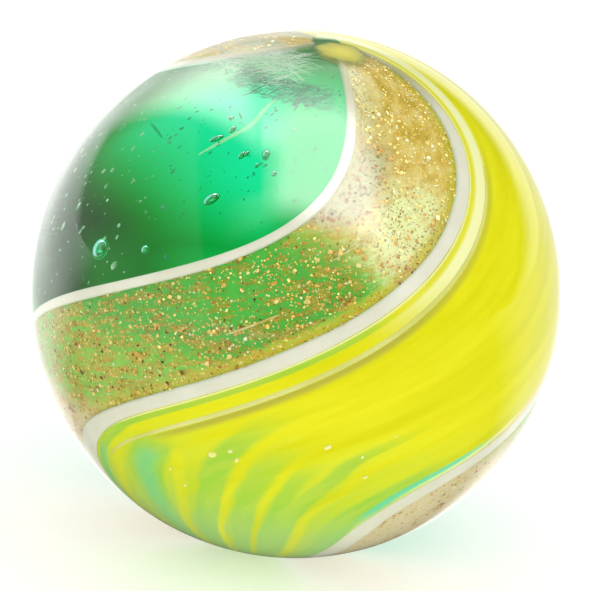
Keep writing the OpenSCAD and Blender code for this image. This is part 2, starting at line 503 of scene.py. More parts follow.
# The yellow itself, with a soft shadow line and paler trails along both threads.
lemon = colour_ramp(
    drawn * 0.5 + broad * 0.5,
    ((0.36, (0.74, 0.70, 0.006)), (0.5, (0.82, 0.765, 0.01)), (0.62, (0.88, 0.82, 0.016))),
)
high = ramp(lat, 8.0, 26.0)
shade = ramp(second, 1.25, 1.36) * ramp(second, 1.75, 1.42) * soft_between(lat, -22, 46, 8)
paler = greatest(soft_between(third, 0.42, 0.68, 0.05), soft_between(second, 0.3, 0.37, 0.03))
paler = greatest(paler, high * soft_between(second, 0.62, 1.2, 0.12))
greyed = high * soft_between(second, 0.3, 0.5, 0.08)
lemon = overlaid(
    lemon,
    (shade * (0.75 - high * 0.3), (0.42, 0.38, 0.07)),
    (paler * 0.82, (1.0, 0.98, 0.56)),
    (greyed * 0.2, (0.60, 0.64, 0.26)),
)

# The green that shows through it, mint in the first opening and turquoise by the third thread.
lime = colour_ramp(drawn, ((0.4, (0.46, 0.76, 0.06)), (0.6, (0.60, 0.79, 0.07))))
lime = mix_colour(ramp(lat, -30.0, -52.0, 0.0, 0.8), lime, (0.50, 0.76, 0.24))
mint = streak(shifted, lat, openings[0][0], 0.034, 0.026)
mint = mint * ramp(lat, -56.0, -34.0, 0.35, 1.0) * ramp(lat, -22.0, -27.0)
mint = greatest(mint, streak(share, lat, mint_edge, 0.018, 0.008) * 0.7)
turquoise = streak(share, lat, turquoise_edge, 0.019, 0.007) * ramp(lat, -40.0, -33.0, 0.15, 1.0)
body = overlaid(
    lemon,
    (thin, lime),
    (mint * 0.62, (0.20, 0.78, 0.36)),
    (turquoise * 0.95, (0.20, 0.80, 0.42)),
)
yellow = mix_surface(greatest(thin, mint) * 0.15, opaque(body), None)
finish(yellow)

yellow_r = ball_r - cover - tucked
loops, share_grid, lat_grid = band_loops(*strip_edges(1), yellow_r, ball_r - yellow_depth)
values = {"share": share_grid, "latitude": lat_grid}
values.update(from_second=nearest(loops, 1), from_third=nearest(loops, 2))
yellow_panel = closed_loops("yellow_glass_panel", loops, yellow_glass, values)
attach(yellow_panel, "root")
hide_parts("yellow_glass_panel")

# --- Pale thread ---
# A thin trail of pale yellow glass laid along the panel beside the second thread.
pale_off = 1.2 * mm
pale_half = 0.15 * mm
pale_cover = 0.02 * mm
pale_lats = np.linspace(-27, 47, 200)[:, None]


def cloudy_glass(name, scale, dark, light, amount=None, edges=(0.35, 0.65), detail=3.0):
    """Glass whose colour is a cloudy noise between two. It is opaque, or an amount says how
    much of it is there to see."""
    material, tree = new_material(name)
    cloud = noise(tree, own_place(tree), scale, detail)
    body = opaque(colour_ramp(cloud, ((edges[0], dark), (edges[1], light))))
    finish(body if amount is None else mix_surface(amount, None, body))
    return material


pale_glass = cloudy_glass("opaque pale yellow glass", 300.0, (0.66, 0.65, 0.15), (0.78, 0.77, 0.28))
pale_reach = np.sin(np.pi * np.linspace(0.02, 0.98, 200))[:, None] ** 0.4
pale_side = beside(1, pale_lats, pale_off + pale_half * pale_reach * np.cos(turn))
pale_r = ball_r - pale_cover - 0.16 * mm + pale_half * np.sin(turn)
pale_thread = closed_loops("pale_thread", on_ball(*pale_side, pale_r), pale_glass)
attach(pale_thread, "root")
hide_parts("pale_thread")

# --- Goldstone bands ---
# Clear glass full of bright copper crystals, laid on in strips between the outer pairs of
# threads. Fine dust clouds the strip in drawn-out patches, and larger flakes hang in it at
# all depths, gold where they catch the light and brown where they turn away: their metal
# mirrors the lamp, and their random tones from brown to gold are partly painted glints.
goldstone_depth = 1.0 * mm
dust_top = 0.30 * mm
flake_top = 0.06 * mm
flake_reach = 0.85 * mm
flake_size = 0.040
flake_counts = {0: 11500, 2: 9000}
flake_tones = (
    (0.0, (0.05, 0.02, 0.005)),
    (0.07, (0.14, 0.055, 0.01)),
    (0.12, (0.34, 0.13, 0.02)),
    (0.28, (0.54, 0.21, 0.03)),
    (0.36, (0.76, 0.36, 0.05)),
    (0.55, (0.86, 0.50, 0.09)),
    (0.66, (0.92, 0.68, 0.18)),
    (0.88, (0.96, 0.78, 0.28)),
    (0.95, (1.0, 0.92, 0.62)),
)
dust_tones = (
    (0.475, (0.17, 0.68, 0.10)),
    (0.498, (0.28, 0.55, 0.06)),
    (0.53, (0.42, 0.44, 0.06)),
    (0.61, (0.60, 0.43, 0.07)),
)
golden_tones = (
    (0.36, (0.68, 0.41, 0.05)),
    (0.47, (0.84, 0.52, 0.10)),
    (0.56, (0.93, 0.62, 0.17)),
    (0.66, (0.96, 0.70, 0.27)),
)
# The middle of the painted highlight where the lamp shines on the first goldstone strip.
painted_highlight_middle = on_ball(32, -62, ball_r)
random = np.random.default_rng(7)

copper_flake, tree = new_material("copper flakes")
tone = colour_ramp(per_point(tree, "tone"), flake_tones)
metal = node(tree, "BsdfPrincipled", {"Base Color": tone, "Metallic": 0.4, "Roughness": 0.35})
finish(metal)


def vector_sum(tree, operation, first, second, output=0):
    """Two vectors joined point by point."""
    return node(tree, "VectorMath", {0: first, 1: second}, output, operation=operation)


# The patches of dust are drawn out along the strip, and ragged by a fine noise.
amber_dust, tree = new_material("amber dust of goldstone with painted highlights")
share = per_point(tree, "share")
lat = per_point(tree, "latitude")
place = own_place(tree)
fine = node(tree, "TexNoise", {"Vector": place, "Scale": 14000.0, "Detail": 1.0}, "Color")
fine = vector_sum(tree, "MULTIPLY", fine, (0.16 * mm, 0.16 * mm, 0.16 * mm))
ragged = vector_sum(tree, "ADD", place, fine)
along = node(tree, "CombineXYZ", {"X": share, "Y": lat * 0.03, "Z": per_point(tree, "under")})
patch = noise(tree, ragged, 950.0, 3.0, 0.6)
cloudy = noise(tree, along, 13.5, 3.0, 0.6) * 0.66 + patch * 0.34
cloudy = cloudy - ramp(lat, 4.0, 16.0) * 0.022
crowded = ramp(cloudy, 0.45, 0.55)

# Parts of the strip: golden upper part, east edge, lower part, a painted highlight where the
# lamp shines on it, the upper west side, a pale patch beside the first thread where the lamp's
# glare is partly mirrored and partly painted into the dust, and the far side.
upper = ramp(lat + share * 9.0, 26.0, 38.0)
edge = ramp(share + patch * 0.1, 0.9, 1.0)
foot = ramp(lat, 7.0, -8.0)
# Painted highlight: a pale spot where the lamp shines on the strip.
from_painted_highlight = vector_sum(tree, "DISTANCE", place, tuple(painted_highlight_middle), "Value")
painted_highlight = ramp(from_painted_highlight + (cloudy - 0.5) * (4 * mm), 2.9 * mm, 1.1 * mm)
inner = ramp(share, 0.45, 0.1) * ramp(lat, 48.0, 60.0)
# Painted glare: the lamp's glare beside the first thread, painted pale into the dust.
painted_glare = ramp(share, 0.46, 0.22) * ramp(lat, 30.0, 36.0) * ramp(lat, 57.0, 48.0)
away = node(tree, "SeparateXYZ", {0: ragged}, "Y")
far_side = ramp(away, -1 * mm, 3 * mm) * ramp(lat, 52.0, 62.0)

# Small flakes stand in the dust as round specks: one cell in so many holds a speck.
specks = []
for scale, most in ((12000.0, 0.40), (7000.0, 0.22)):
    cells = {"Vector": ragged, "Scale": scale, "Randomness": 1.0}
    cell = node(tree, "TexVoronoi", cells, "Color")
    chance = node(tree, "SeparateColor", {0: cell}, "Red")
    cell_tone = node(tree, "SeparateColor", {0: cell}, "Green")
    kept = greatest((crowded * 0.85 + 0.15) * most, greatest(painted_highlight, painted_glare, inner) * (most * 0.9))
    spot = ramp(node(tree, "TexVoronoi", cells, "Distance"), 0.48, 0.34)
    specks.append((spot * maths("LESS_THAN", chance, kept), cell_tone))
(small, small_tone), (large, large_tone) = specks
speck_tone = node(tree, "Mix", {0: large, 2: small_tone, 3: large_tone}, data_type="FLOAT")
speck = greatest(small, large) * ramp(lat, -6.0, -26.0, 1.0, 0.35)
glitter = overlaid(
    colour_ramp(speck_tone + upper * 0.2, flake_tones),
    (greatest(painted_highlight, inner) * 0.85, (0.40, 0.24, 0.05)),
    (painted_glare * 0.9, (0.22, 0.17, 0.03)),
)

haze = ramp(cloudy, 0.475, 0.54, 0.62, 0.78) + upper * 0.6
haze = haze + greatest(edge, foot) * 0.5 + greatest(painted_highlight, painted_glare) * 0.6
haze = greatest(maths("MINIMUM", haze, 0.97), ramp(lat, -16.0, -26.0, 0.0, 0.97))
golden = colour_ramp(noise(tree, along, 7.0, 3.0, 0.55), golden_tones)
golden = mix_colour(inner * 0.8, golden, (0.94, 0.82, 0.44))
tint = overlaid(
    colour_ramp(cloudy, dust_tones),
    (upper, golden),
    (painted_highlight, (1.0, 0.92, 0.44)),
    (painted_glare * 0.92, (0.68, 0.58, 0.30)),
    (edge * 0.85, (0.72, 0.55, 0.05)),
    (foot * 0.45, (0.64, 0.56, 0.16)),
    (ramp(lat, -16.0, -26.0, 0.0, 0.93), (0.94, 0.68, 0.44)),
    (far_side * 0.85, (0.31, 0.25, 0.11)),
    (speck, glitter),
)
dust = mix_surface(greatest(haze, speck * 0.9), None, opaque(tint, 0.6))
finish(dust)


def repeated(faces, points_each, count):
    """The faces of one shape, given again for each of its copies."""
    return (faces[None] + points_each * np.arange(count)[:, None, None]).reshape(-1, 3)


def scatter_flakes(name, west, east, count):
    """Copper flakes as flat six-sided crystals, each a ring of six points with a low point on
    both sides, at a random tilt from the skin. A third of the places are even over the strip
    and the rest are normal spreads about small clusters. A place is kept where a random
    number lies below the width of the strip there."""
    tries = count * 4
    clusters = count // 6
    which = random.integers(0, clusters, tries)
    cluster_lat = random.uniform(-84, 84, clusters)[which] + random.normal(0, 0.9, tries)
    cluster_share = random.uniform(0.02, 0.98, clusters)[which] + random.normal(0, 0.022, tries)
    even = random.random(tries) < 0.33
    lat = np.where(even, random.uniform(-84, 84, tries), cluster_lat)
    share = np.where(even, random.uniform(0.02, 0.98, tries), cluster_share).clip(0.02, 0.98)
    (lat_w, lon_w), (lat_e, lon_e) = west(lat), east(lat)
    width = np.abs(lon_e - lon_w) * np.cos(np.radians(lat))
    kept = np.flatnonzero(random.uniform(0, width.max(), tries) < width)[:count]
    lat_at = lat_w[kept] + (lat_e - lat_w)[kept] * share[kept]
    lon_at = lon_w[kept] + (lon_e - lon_w)[kept] * share[kept]
    number = len(kept)
    depth = cover + flake_top + flake_reach * random.random(number) ** 2
    size = np.clip(random.lognormal(np.log(flake_size), 0.5, number), 0.017, 0.105) * mm
    middle = on_ball(lat_at, lon_at, ball_r - depth)
    normal = unit(unit(middle) + random.normal(0, 0.35, (number, 3)))
    first = unit(np.cross(normal, random.normal(0, 1, (number, 3))))
    other = np.cross(normal, first)
    angle = full_turn(6)[None, :, None]
    uneven = random.uniform(0.6, 1.2, (number, 6, 1))
    spokes = np.cos(angle) * first[:, None] + np.sin(angle) * other[:, None]
    rim = middle[:, None] + spokes * uneven * size[:, None, None]
    thick = size[:, None, None] * np.array([0.12, -0.12])[None, :, None]
    points = np.concatenate([rim, middle[:, None] + normal[:, None] * thick], axis=1)
    ring = np.arange(6)
    turned = (ring + 1) % 6
    tops = np.stack([ring, turned, np.full(6, 6)], -1)
    undersides = np.stack([turned, ring, np.full(6, 7)], -1)
    faces = repeated(np.concatenate([tops, undersides]), 8, number)

    # A flake's tone is part its cluster's and part its own. Flakes are painted brighter in the upper
    # part of the strip, for their sparkle under the lamp there, and darker in the pale patch of
    # painted glare beside the first thread.
    shade = random.normal(0.5, 0.22, clusters)[which][kept] * 0.5 + random.random(number) * 0.5
    shade = np.where(even[kept], random.random(number), shade)
    upper = np.clip((lat_at - 24) / 14, 0, 1)
    painted_glare = np.clip((0.42 - share[kept]) / 0.15, 0, 1)
    painted_glare = painted_glare * np.clip((lat_at - 30) / 5, 0, 1) * np.clip((54 - lat_at) / 5, 0, 1)
    tone = (shade * (1 - 0.35 * upper) + 0.4 * upper * (1 - painted_glare)) * (1 - 0.5 * painted_glare)
    tones = {"tone": np.repeat(tone.clip(0, 1), 8)}
    return mesh_piece(name, points.reshape(-1, 3), faces, copper_flake, tones, smooth=False)


for number, (k, count) in enumerate(flake_counts.items(), start=1):
    west, east = strip_edges(k)
    loops, share_grid, lat_grid = band_loops(
        west, east, ball_r - dust_top, ball_r - goldstone_depth, 48, 24, 300
    )
    under_grid = (np.linalg.norm(loops, axis=-1) < ball_r - goldstone_depth * 0.6) * 1.0
    values = {"share": share_grid, "latitude": lat_grid, "under": under_grid}
    band = closed_loops(f"goldstone_band_{number}", loops, amber_dust, values)
    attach(band, "root")
    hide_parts(f"goldstone_band_{number}")
    flakes = scatter_flakes(f"copper_flakes_{number}", west, east, count)
    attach(flakes, "root")

# --- Goldstone sliver ---
# An end of the same strip that slipped out beside the third thread and was rolled in there.
sliver_half = 0.25 * mm
sliver_lats = np.linspace(-20, 14, 120)[:, None]
sliver_width = sliver_half * np.sin(np.pi * np.linspace(0.03, 0.97, 120))[:, None]
sliver_off = thread_half(2, sliver_lats) + sliver_width * (1 - np.cos(turn)) + 0.01 * mm
sliver_r = ball_r - 0.02 * mm - 0.2 * mm + 0.18 * mm * squared(np.sin(turn))
loops = on_ball(*beside(2, sliver_lats, -sliver_off), sliver_r)
blank = np.zeros(loops.shape[:2])
values = {"share": blank + 0.5, "latitude": blank + 60, "under": blank}
sliver = closed_loops("goldstone_sliver", loops, amber_dust, values)
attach(sliver, "root")
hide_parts("goldstone_sliver")

# --- Cut-off ---
# The stub of yellow cane left where the finished twist was cut from its rod, melted back
# into a flat spot of uneven outline at the top pole.
cutoff_r = 1.2 * mm
cutoff_lat = 83
cutoff_lon = -65
cutoff_cover = 0.024 * mm
cutoff_depth = 0.5 * mm


def skin_ways(lat, lon):
    """The ways up, east and north at places on the skin: up is the place itself, east lies
    level at a right angle to it, and north is up crossed with east."""
    up = on_ball(lat, lon, 1.0)
    lon = np.radians(lon)
    east = np.stack([-np.sin(lon), np.cos(lon), 0 * lon], -1)
    return up, east, np.cross(up, east)


olive_glass, tree = new_material("olive-yellow glass")
cloud = noise(tree, own_place(tree), 900.0, 3.0)
reach = per_point(tree, "reach") + (cloud - 0.5) * 0.5
olive = colour_ramp(
    reach, ((0.2, (0.74, 0.66, 0.06)), (0.6, (0.58, 0.54, 0.05)), (0.98, (0.36, 0.40, 0.06)))
)
melted_in = mix_surface(ramp(reach, 0.72, 1.04, 0.0, 0.8), opaque(olive), None)
finish(melted_in)

# Rings that widen over the top and narrow again over the underside.
up, east, north = skin_ways(cutoff_lat, cutoff_lon)
sag = np.linspace(0.03, 1, 24)[:, None]
bearing = full_turn(64)[None, :]
profile_r = np.concatenate([sag * cutoff_r, sag[::-1] * cutoff_r * 0.98])
profile_h = np.concatenate([0 * sag, 0 * sag + 1])
outline = 0.915 - 0.05 * np.sin(2 * bearing + 0.8) - 0.035 * np.sin(3 * bearing + 2.2)
outline = outline - 0.04 * np.sin(7 * bearing)
spot_angle = (profile_r / ball_r * outline)[..., None]
outwards = np.cos(bearing)[..., None] * east + np.sin(bearing)[..., None] * north
spot_way = np.cos(spot_angle) * up + np.sin(spot_angle) * outwards
spot_r = (ball_r - cutoff_cover - profile_h * cutoff_depth)[..., None]
values = {"reach": profile_r / cutoff_r + 0 * bearing}
cutoff = closed_loops("yellow_cutoff", spot_way * spot_r, olive_glass, values)
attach(cutoff, "root")
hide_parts("yellow_cutoff")

# --- Bubbles ---
# Air caught under the skin of the gather, drawn out along the twist: a few large blisters
# and many pin-head seeds, most of them in the clear green side.
seed_count = 1500
seed_size = 0.030
# Blisters: latitude, longitude, depth and half width in millimetres, stretch, turn from north.
blisters = (
    (34.6, -116.1, 0.7, 0.20, 1.8, 40),
    (15.3, -142.9, 1.0, 0.36, 1.2, 10),
    (19.5, -129.1, 0.9, 0.15, 1.2, 20),
    (54.3, -124.3, 0.6, 0.10, 1.5, 60),
    (51.8, -121.0, 0.7, 0.12, 1.6, 10),
    (48.2, -124.0, 0.6, 0.12, 2.6, 45),
    (48.2, -105.7, 0.8, 0.15, 1.2, 0),
    (46.7, -113.5, 0.9, 0.12, 1.7, 20),
    (47.3, -112.2, 0.9, 0.09, 1.7, 20),
    (44.7, -107.2, 0.7, 0.08, 1.4, 0),
    (44.0, -101.5, 0.9, 0.11, 1.1, 0),
    (55.5, -99.0, 0.7, 0.05, 2.5, 80),
    (62.6, -101.2, 0.5, 0.07, 6.5, 0),
    (21.1, -61.4, 0.2, 0.10, 2.2, 40),
    (-7.4, -59.1, 0.2, 0.09, 1.5, 60),
)
# The larger pale seeds, and bits of lemon glass in the panel, given in the same way.
pale_seeds = (
    (13.8, -134.9, 0.4, 0.13, 1.6, 25),
    (29.4, -127.5, 0.4, 0.12, 1.1, 40),
    (20.8, -155.5, 0.4, 0.10, 2.1, 5),
    (15.0, -158.5, 0.4, 0.10, 2.1, 5),
    (31.5, -150.5, 0.4, 0.10, 1.2, 10),
    (28.0, -148.9, 0.4, 0.09, 1.5, 5),
    (41.5, -150.0, 0.4, 0.08, 1.7, 15),
    (42.9, -137.6, 0.4, 0.07, 1.4, 30),
    (25.6, -145.5, 0.4, 0.06, 1.4, 10),
    (22.0, -138.2, 0.5, 0.08, 1.3, 20),
    (19.6, -137.2, 0.5, 0.06, 1.8, 10),
    (19.5, -122.0, 0.5, 0.10, 1.3, 20),
    (27.0, -132.0, 0.5, 0.06, 1.4, 30),
    (26.4, -128.6, 0.5, 0.05, 1.2, 0),
)
bits = (
    (-28.6, -115.2, 0.07, 0.06, 1.3, 20),
    (-21.4, -98.4, 0.07, 0.10, 1.3, 20),
    (-19.3, -99.9, 0.07, 0.08, 1.5, 50),
    (-21.1, -104.0, 0.07, 0.15, 1.3, 60),
    (-32.5, -111.7, 0.07, 0.07, 1.3, 20),
    (-22.8, -68.5, 0.07, 0.10, 1.3, 60),
    (-15.1, -78.8, 0.07, 0.10, 1.8, 60),
    (-17.3, -70.5, 0.07, 0.06, 1.5, 20),
    (-12.0, -64.0, 0.07, 0.05, 1.5, 20),
)


def drops(name, table, material, steps=8):
    """Egg-shaped drops, each a sphere of latitude rings stretched along one line in the
    skin. The line is turned from north by an angle, and the drop lies at a depth."""
    lat, lon, depth, size, stretch, turned = np.array(table, dtype=float).T
    up, east, north = skin_ways(lat, lon)
    angle = np.radians(turned)[:, None]
    line = np.cos(angle) * north + np.sin(angle) * east
    frame_of_drop = np.stack([np.cross(line, up), up, line * stretch[:, None]], 1)
    rings = steps // 2
    fall = np.linspace(0, np.pi, rings + 2)[1:-1][:, None]
    spin = full_turn(steps)[None, :]
    flat = [np.sin(fall) * np.cos(spin), np.sin(fall) * np.sin(spin), np.cos(fall) + 0 * spin]
    ball = np.concatenate([np.stack(flat, -1).reshape(-1, 3), [[0, 0, 1], [0, 0, -1]]])
    middle = up * (ball_r - depth * mm)[:, None]
    points = middle[:, None] + ball @ frame_of_drop * (size * mm)[:, None, None]
    faces = repeated(skin_faces(rings, steps), len(ball), len(lat))
    return mesh_piece(name, points.reshape(-1, 3), faces, material)


air_in_glass, tree = new_material("air in green glass")
speckle = noise(tree, own_place(tree), 2500.0)
air_look = {
    "Base Color": (1, 1, 1),
    "Roughness": node(tree, "MapRange", {"Value": speckle, "To Max": 0.06}),
    "IOR": 1 / glass_ior,
    "Transmission Weight": 1.0,
}
air = see_through(node(tree, "BsdfPrincipled", air_look))
finish(air)
blister_drops = drops("air_blisters", blisters, air_in_glass, steps=20)

# The seeds are too small and crowded to see into: pale specks, their paleness a painted
# reflection of the light they mirror, thicker to the eye at their rims, and painted dark green
# towards the lit side of the ball, where light behind them makes them look dark.
pale_air, tree = new_material("air seeds with painted light and shade")
speckle = noise(tree, own_place(tree), 3000.0)
painted_seed_tone = colour_ramp(speckle, ((0.35, (0.34, 0.62, 0.36)), (0.65, (0.72, 0.86, 0.60))))
# Painted shade: towards the lit side of the ball the seeds are painted dark green.
side = node(tree, "SeparateXYZ", {0: own_place(tree)}, "X")
painted_seed_tone = mix_colour(ramp(side, -7.5 * mm, -5.0 * mm), painted_seed_tone, (0.03, 0.34, 0.15))
grazing = node(tree, "LayerWeight", {"Blend": 0.5}, "Facing")
milky = ramp(grazing, 0.95, 0.35, 0.05, 0.6) * ramp(speckle, 0.35, 0.65, 0.45, 1.0)
finish(mix_surface(milky, None, opaque(painted_seed_tone)))

seed_lat = np.degrees(np.arcsin(random.uniform(-0.95, 0.97, seed_count)))
green_west, green_east = thread_path(3, seed_lat) - 360, thread_path(0, seed_lat)
seed_share = random.uniform(0.03, 0.97, seed_count) ** 1.3
seed_columns = (
    seed_lat,
    green_west + (green_east - green_west) * seed_share,
    random.uniform(0.12, 0.9, seed_count),
    np.clip(random.lognormal(np.log(seed_size), 0.5, seed_count), 0.014, 0.075),
    random.uniform(1.0, 2.2, seed_count),
    random.normal(20, 15, seed_count),
)
upper_seeds = np.stack(seed_columns, -1)[seed_lat > -8]
seed_drops = drops("air_seeds", np.concatenate([pale_seeds, upper_seeds]), pale_air)

bit_tones = (0.84, 0.82, 0.20), (0.92, 0.90, 0.46)
lemon_bit = cloudy_glass("lemon bits", 2500.0, *bit_tones, edges=(0.4, 0.6), detail=2.0)
lemon_bits = drops("lemon_bits", bits, lemon_bit)
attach(lemon_bits, "root")
for air_piece in (blister_drops, seed_drops):
    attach(air_piece, "root")

# --- Stray strands ---
# Hair-thin scraps of other glass picked up with the gather: a pale yellow-green trail and
# dark hairs under the top of the green side, and gold needles in the goldstone.
# Each scrap glass: the scale of its cloudiness, its two colours and how much of it shows.
scraps = (
    ("pale green scrap glass", 1800.0, (0.60, 0.85, 0.40), (0.82, 0.95, 0.58), 0.36),
    ("dark green scrap glass", 2500.0, (0.01, 0.10, 0.03), (0.03, 0.22, 0.08), 0.75),
    ("gold scrap glass", 2500.0, (0.70, 0.48, 0.10), (0.95, 0.86, 0.45), 0.75),
    ("dark green fibre", 2500.0, (0.005, 0.13, 0.05), (0.02, 0.30, 0.12), 1.0),
    ("cream fibre", 1500.0, (0.66, 0.80, 0.56), (0.94, 0.93, 0.78), 1.0),
)
pale_scrap, dark_scrap, gold_scrap, wisp_scrap, cream_scrap = (cloudy_glass(*row) for row in scraps)
# Places along each strand (latitude, longitude), its half width and its depth in millimetres.
pale_places = ((65.5, -109), (59, -113.5), (53.9, -114.9), (48.5, -120.5), (43, -126.0))
gold_places = ((43.7, -64.7), (35.9, -69.7), (30.4, -75.2), (25.2, -83.2))
strands = (
    ("pale_strand", pale_places, 0.10, 0.5, pale_scrap),
    ("dark_hair_1", ((59.5, -128), (61.5, -124.5), (65, -121.5), (68.5, -114)), 0.025, 0.35, dark_scrap),
    ("dark_hair_2", ((67.5, -113), (64.5, -114.5), (61.8, -117.5)), 0.02, 0.4, dark_scrap),
    ("dark_hair_3", ((66.5, -104), (63.5, -106.5)), 0.02, 0.4, dark_scrap),
    ("dark_hair_4", ((66.8, -101.5), (63.9, -103.5)), 0.02, 0.4, dark_scrap),
    ("gold_hair", gold_places, 0.045, 0.15, gold_scrap),
    ("pale_needle_1", ((64.4, -70.7), (57, -72.5), (49.4, -74.0)), 0.05, 0.12, gold_scrap),
    ("pale_needle_2", ((7.0, -103.6), (10.0, -98.3), (13.2, -92.8)), 0.055, 0.12, gold_scrap),
)


def strand(name, places, half_width, depth, material, flatness=0.5, rows=60):
    """A thin flat tube through places (latitude, longitude): a smooth curve by cubic pieces
    between them, and a round section that narrows to both ends by a square root of sine."""
    places = np.array(places, dtype=float)
    at = np.linspace(0, len(places) - 1, rows)
    ways = on_ball(places[:, 0], places[:, 1], 1.0)
    slopes = np.gradient(ways, axis=0)
    step = np.clip(at.astype(int), 0, len(places) - 2)
    t = (at - step)[:, None]
    line = (
        (2 * t**3 - 3 * t**2 + 1) * ways[step]
        + (t**3 - 2 * t**2 + t) * slopes[step]
        + (3 * t**2 - 2 * t**3) * ways[step + 1]
        + (t**3 - t**2) * slopes[step + 1]
    )
    line = unit(line)
    side = unit(np.cross(np.gradient(line, axis=0), line))
    narrowing = np.sqrt(np.sin(np.pi * np.linspace(0.02, 0.98, rows)))[:, None, None]
    width = half_width * mm * narrowing
    bearing = full_turn(10)[None, :, None]
    height = ball_r - depth * mm + width * flatness * np.sin(bearing)
    loops = line[:, None] * height + side[:, None] * width * np.cos(bearing)
    return closed_loops(name, loops, material)


for name, places, half_width, depth, material in strands:
    piece = strand(name, places, half_width, depth, material)
    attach(piece, "root")


def fibres(name, count, lats, lons, lengths, half_width, depths, material, rows=7):
    """Loose fibres: short three-sided rods, each pointed at both ends and bent by a square
    curve, at even random places and depths, most within 35 degrees of the swirl's line."""
    up, east, north = skin_ways(random.uniform(*lats, count), random.uniform(*lons, count))
    angle = np.radians(random.normal(60, 35, count))[:, None]
    line = np.cos(angle) * north + np.sin(angle) * east
    side = np.cross(line, up)
    radius = (ball_r - random.uniform(*depths, count) * mm)[:, None, None]
    reach = (random.uniform(*lengths, count) * mm)[:, None, None]
    bend = random.normal(0, 0.15, count)[:, None, None]
    at = np.linspace(-1, 1, rows)[None, :, None]
    along = reach * (at * line[:, None] + at**2 * bend * side[:, None])
    middle = unit(up[:, None] * radius + along) * radius
    thick = half_width * mm * np.sqrt(np.clip(1 - at**2, 0.002, 1))[..., None]
    spin = full_turn(3)[None, :, None]
    star = np.cos(spin) * side[:, None] + np.sin(spin) * up[:, None]
    points = (middle[:, :, None] + thick * star[:, None]).reshape(-1, 3)
    sides = skin_faces(rows, 3)[: (rows - 1) * 6]
    ends = [[2, 1, 0], [rows * 3 - 3, rows * 3 - 2, rows * 3 - 1]]
    faces = repeated(np.concatenate([sides, ends]), rows * 3, count)
    return mesh_piece(name, points, faces, material)


# How many, where (latitudes, longitudes), half lengths, half width and depths in millimetres.
wisps = (
    ("dark_wisps", 640, (62, 69), (-142, -84), (0.10, 0.45), 0.009, (0.15, 0.6), wisp_scrap),
    ("cream_wisps", 480, (65.5, 79), (-190, -112), (0.5, 1.6), 0.009, (0.15, 0.5), cream_scrap),
)
for wisp in wisps:
    piece = fibres(*wisp)
    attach(piece, "root")

# --- Floor ---
# The pale table top that the ball stands on. It is plain to the eye, and through the glass
# it shows a painted patch of light where the ball gathers light behind itself, with painted
# shade about it where the ball's shadow falls.
floor_size = 3.0
corners = [(x * floor_size, y * floor_size, -ball_r) for x, y in ((-1, -1), (1, -1), (1, 1), (-1, 1))]
floor_mesh = bpy.data.meshes.new("floor")
floor_mesh.from_pydata(corners, [], [(0, 1, 2, 3)])
floor = put_in_scene("floor", floor_mesh)


def facing(way, axis):
    """How far a direction agrees with an axis: their dot product."""
    return vector_sum(way.tree, "DOT_PRODUCT", way, axis, "Value")


def glow(tree, colour=(1, 1, 1), strength=1.0):
    """A surface that gives out light of its own."""
    return node(tree, "Emission", {"Color": colour, "Strength": strength})


def sharp_mirror(tree):
    """1 for rays that a polished skin mirrors, and 0 for rays that pass through it."""
    return ray(tree, "Singular") * (1.0 - ray(tree, "Transmission"))


# Places on the floor in radii of the ball, from under its middle.
pale_floor, tree = new_material("pale floor")
x, y = (node(tree, "SeparateXYZ", {0: own_place(tree)}, axis) for axis in "XY")
x_off, y_off = x / ball_r, y / ball_r
# Painted light and shade, seen only through the glass: a bright patch behind the ball and dimmer floor
# about it.
width = ramp(y_off, 1.4, 2.5, 0.86, 0.48)
painted_gathered_light = (maths("ABSOLUTE", x_off) / width) ** ramp(y_off, 1.5, 2.1, 3.0, 2.0)
painted_gathered_light = maths("EXPONENT", painted_gathered_light * -1.0)
painted_gathered_light = painted_gathered_light * (ramp(y_off, 2.18, 3.0, 1.08, 0.10) * ramp(y_off, 1.25, 1.75, 0.2, 1.0))
slant = maths("ABSOLUTE", x_off) / greatest(y_off, 0.3)
beyond = ramp(y_off, 2.3, 2.8) * ramp(slant, 0.28, 0.08, 0.0, 0.34)
around_it = ramp(y_off, 2.2, 3.0) * ramp(slant, 0.7, 0.4, 0.0, 0.16)
level = greatest(painted_gathered_light, beyond) + (around_it + 0.06)
level = level * ramp(x_off, 0.02, 0.14, 0.68, 1.0)
painted_light_and_shade = node(tree, "CombineColor", {0: level, 1: level, 2: level**2.3})
near_side = greatest(ramp(y_off, 0.9, 0.3), ramp(x_off, -0.3, -1.4))
through = mix_colour(near_side, painted_light_and_shade, (0.9, 0.9, 0.9))

# What the polished skin mirrors of it: the far side, and brighter to the left.
flat = node(tree, "CombineXYZ", {"X": x, "Y": y})
behind = vector_sum(tree, "DISTANCE", flat, (0, 1.2 * ball_r, 0), "Value") / ball_r
way = node(tree, "VectorMath", {0: flat}, operation="NORMALIZE")
mirrored = ramp(behind, 0.2, 1.0, 0.8, 1.4) * ramp(x_off, 0.5, 3.0, 1.0, 0.65)
mirrored = mirrored + ramp(x_off, -1.5, -4.0) * 0.75
mirrored = mirrored * ramp(facing(way, (0, 1, 0)), -0.1, 0.42)
mirrored = greatest(mirrored, ramp(x_off, -2.0, -5.0, 0.12, 0.8))

paper = node(tree, "BsdfDiffuse", {"Color": (0.8, 0.8, 0.79)})
brightened = glow(tree, strength=greatest(ray(tree, "Camera") * 0.35, ray(tree, "Diffuse") * 0.44))
table = node(tree, "AddShader", {0: paper, 1: brightened})
table = mix_surface(ray(tree, "Transmission"), table, glow(tree, through))
table = mix_surface(sharp_mirror(tree), table, glow(tree, strength=mirrored))
finish(table)
floor_mesh.materials.append(pale_floor)

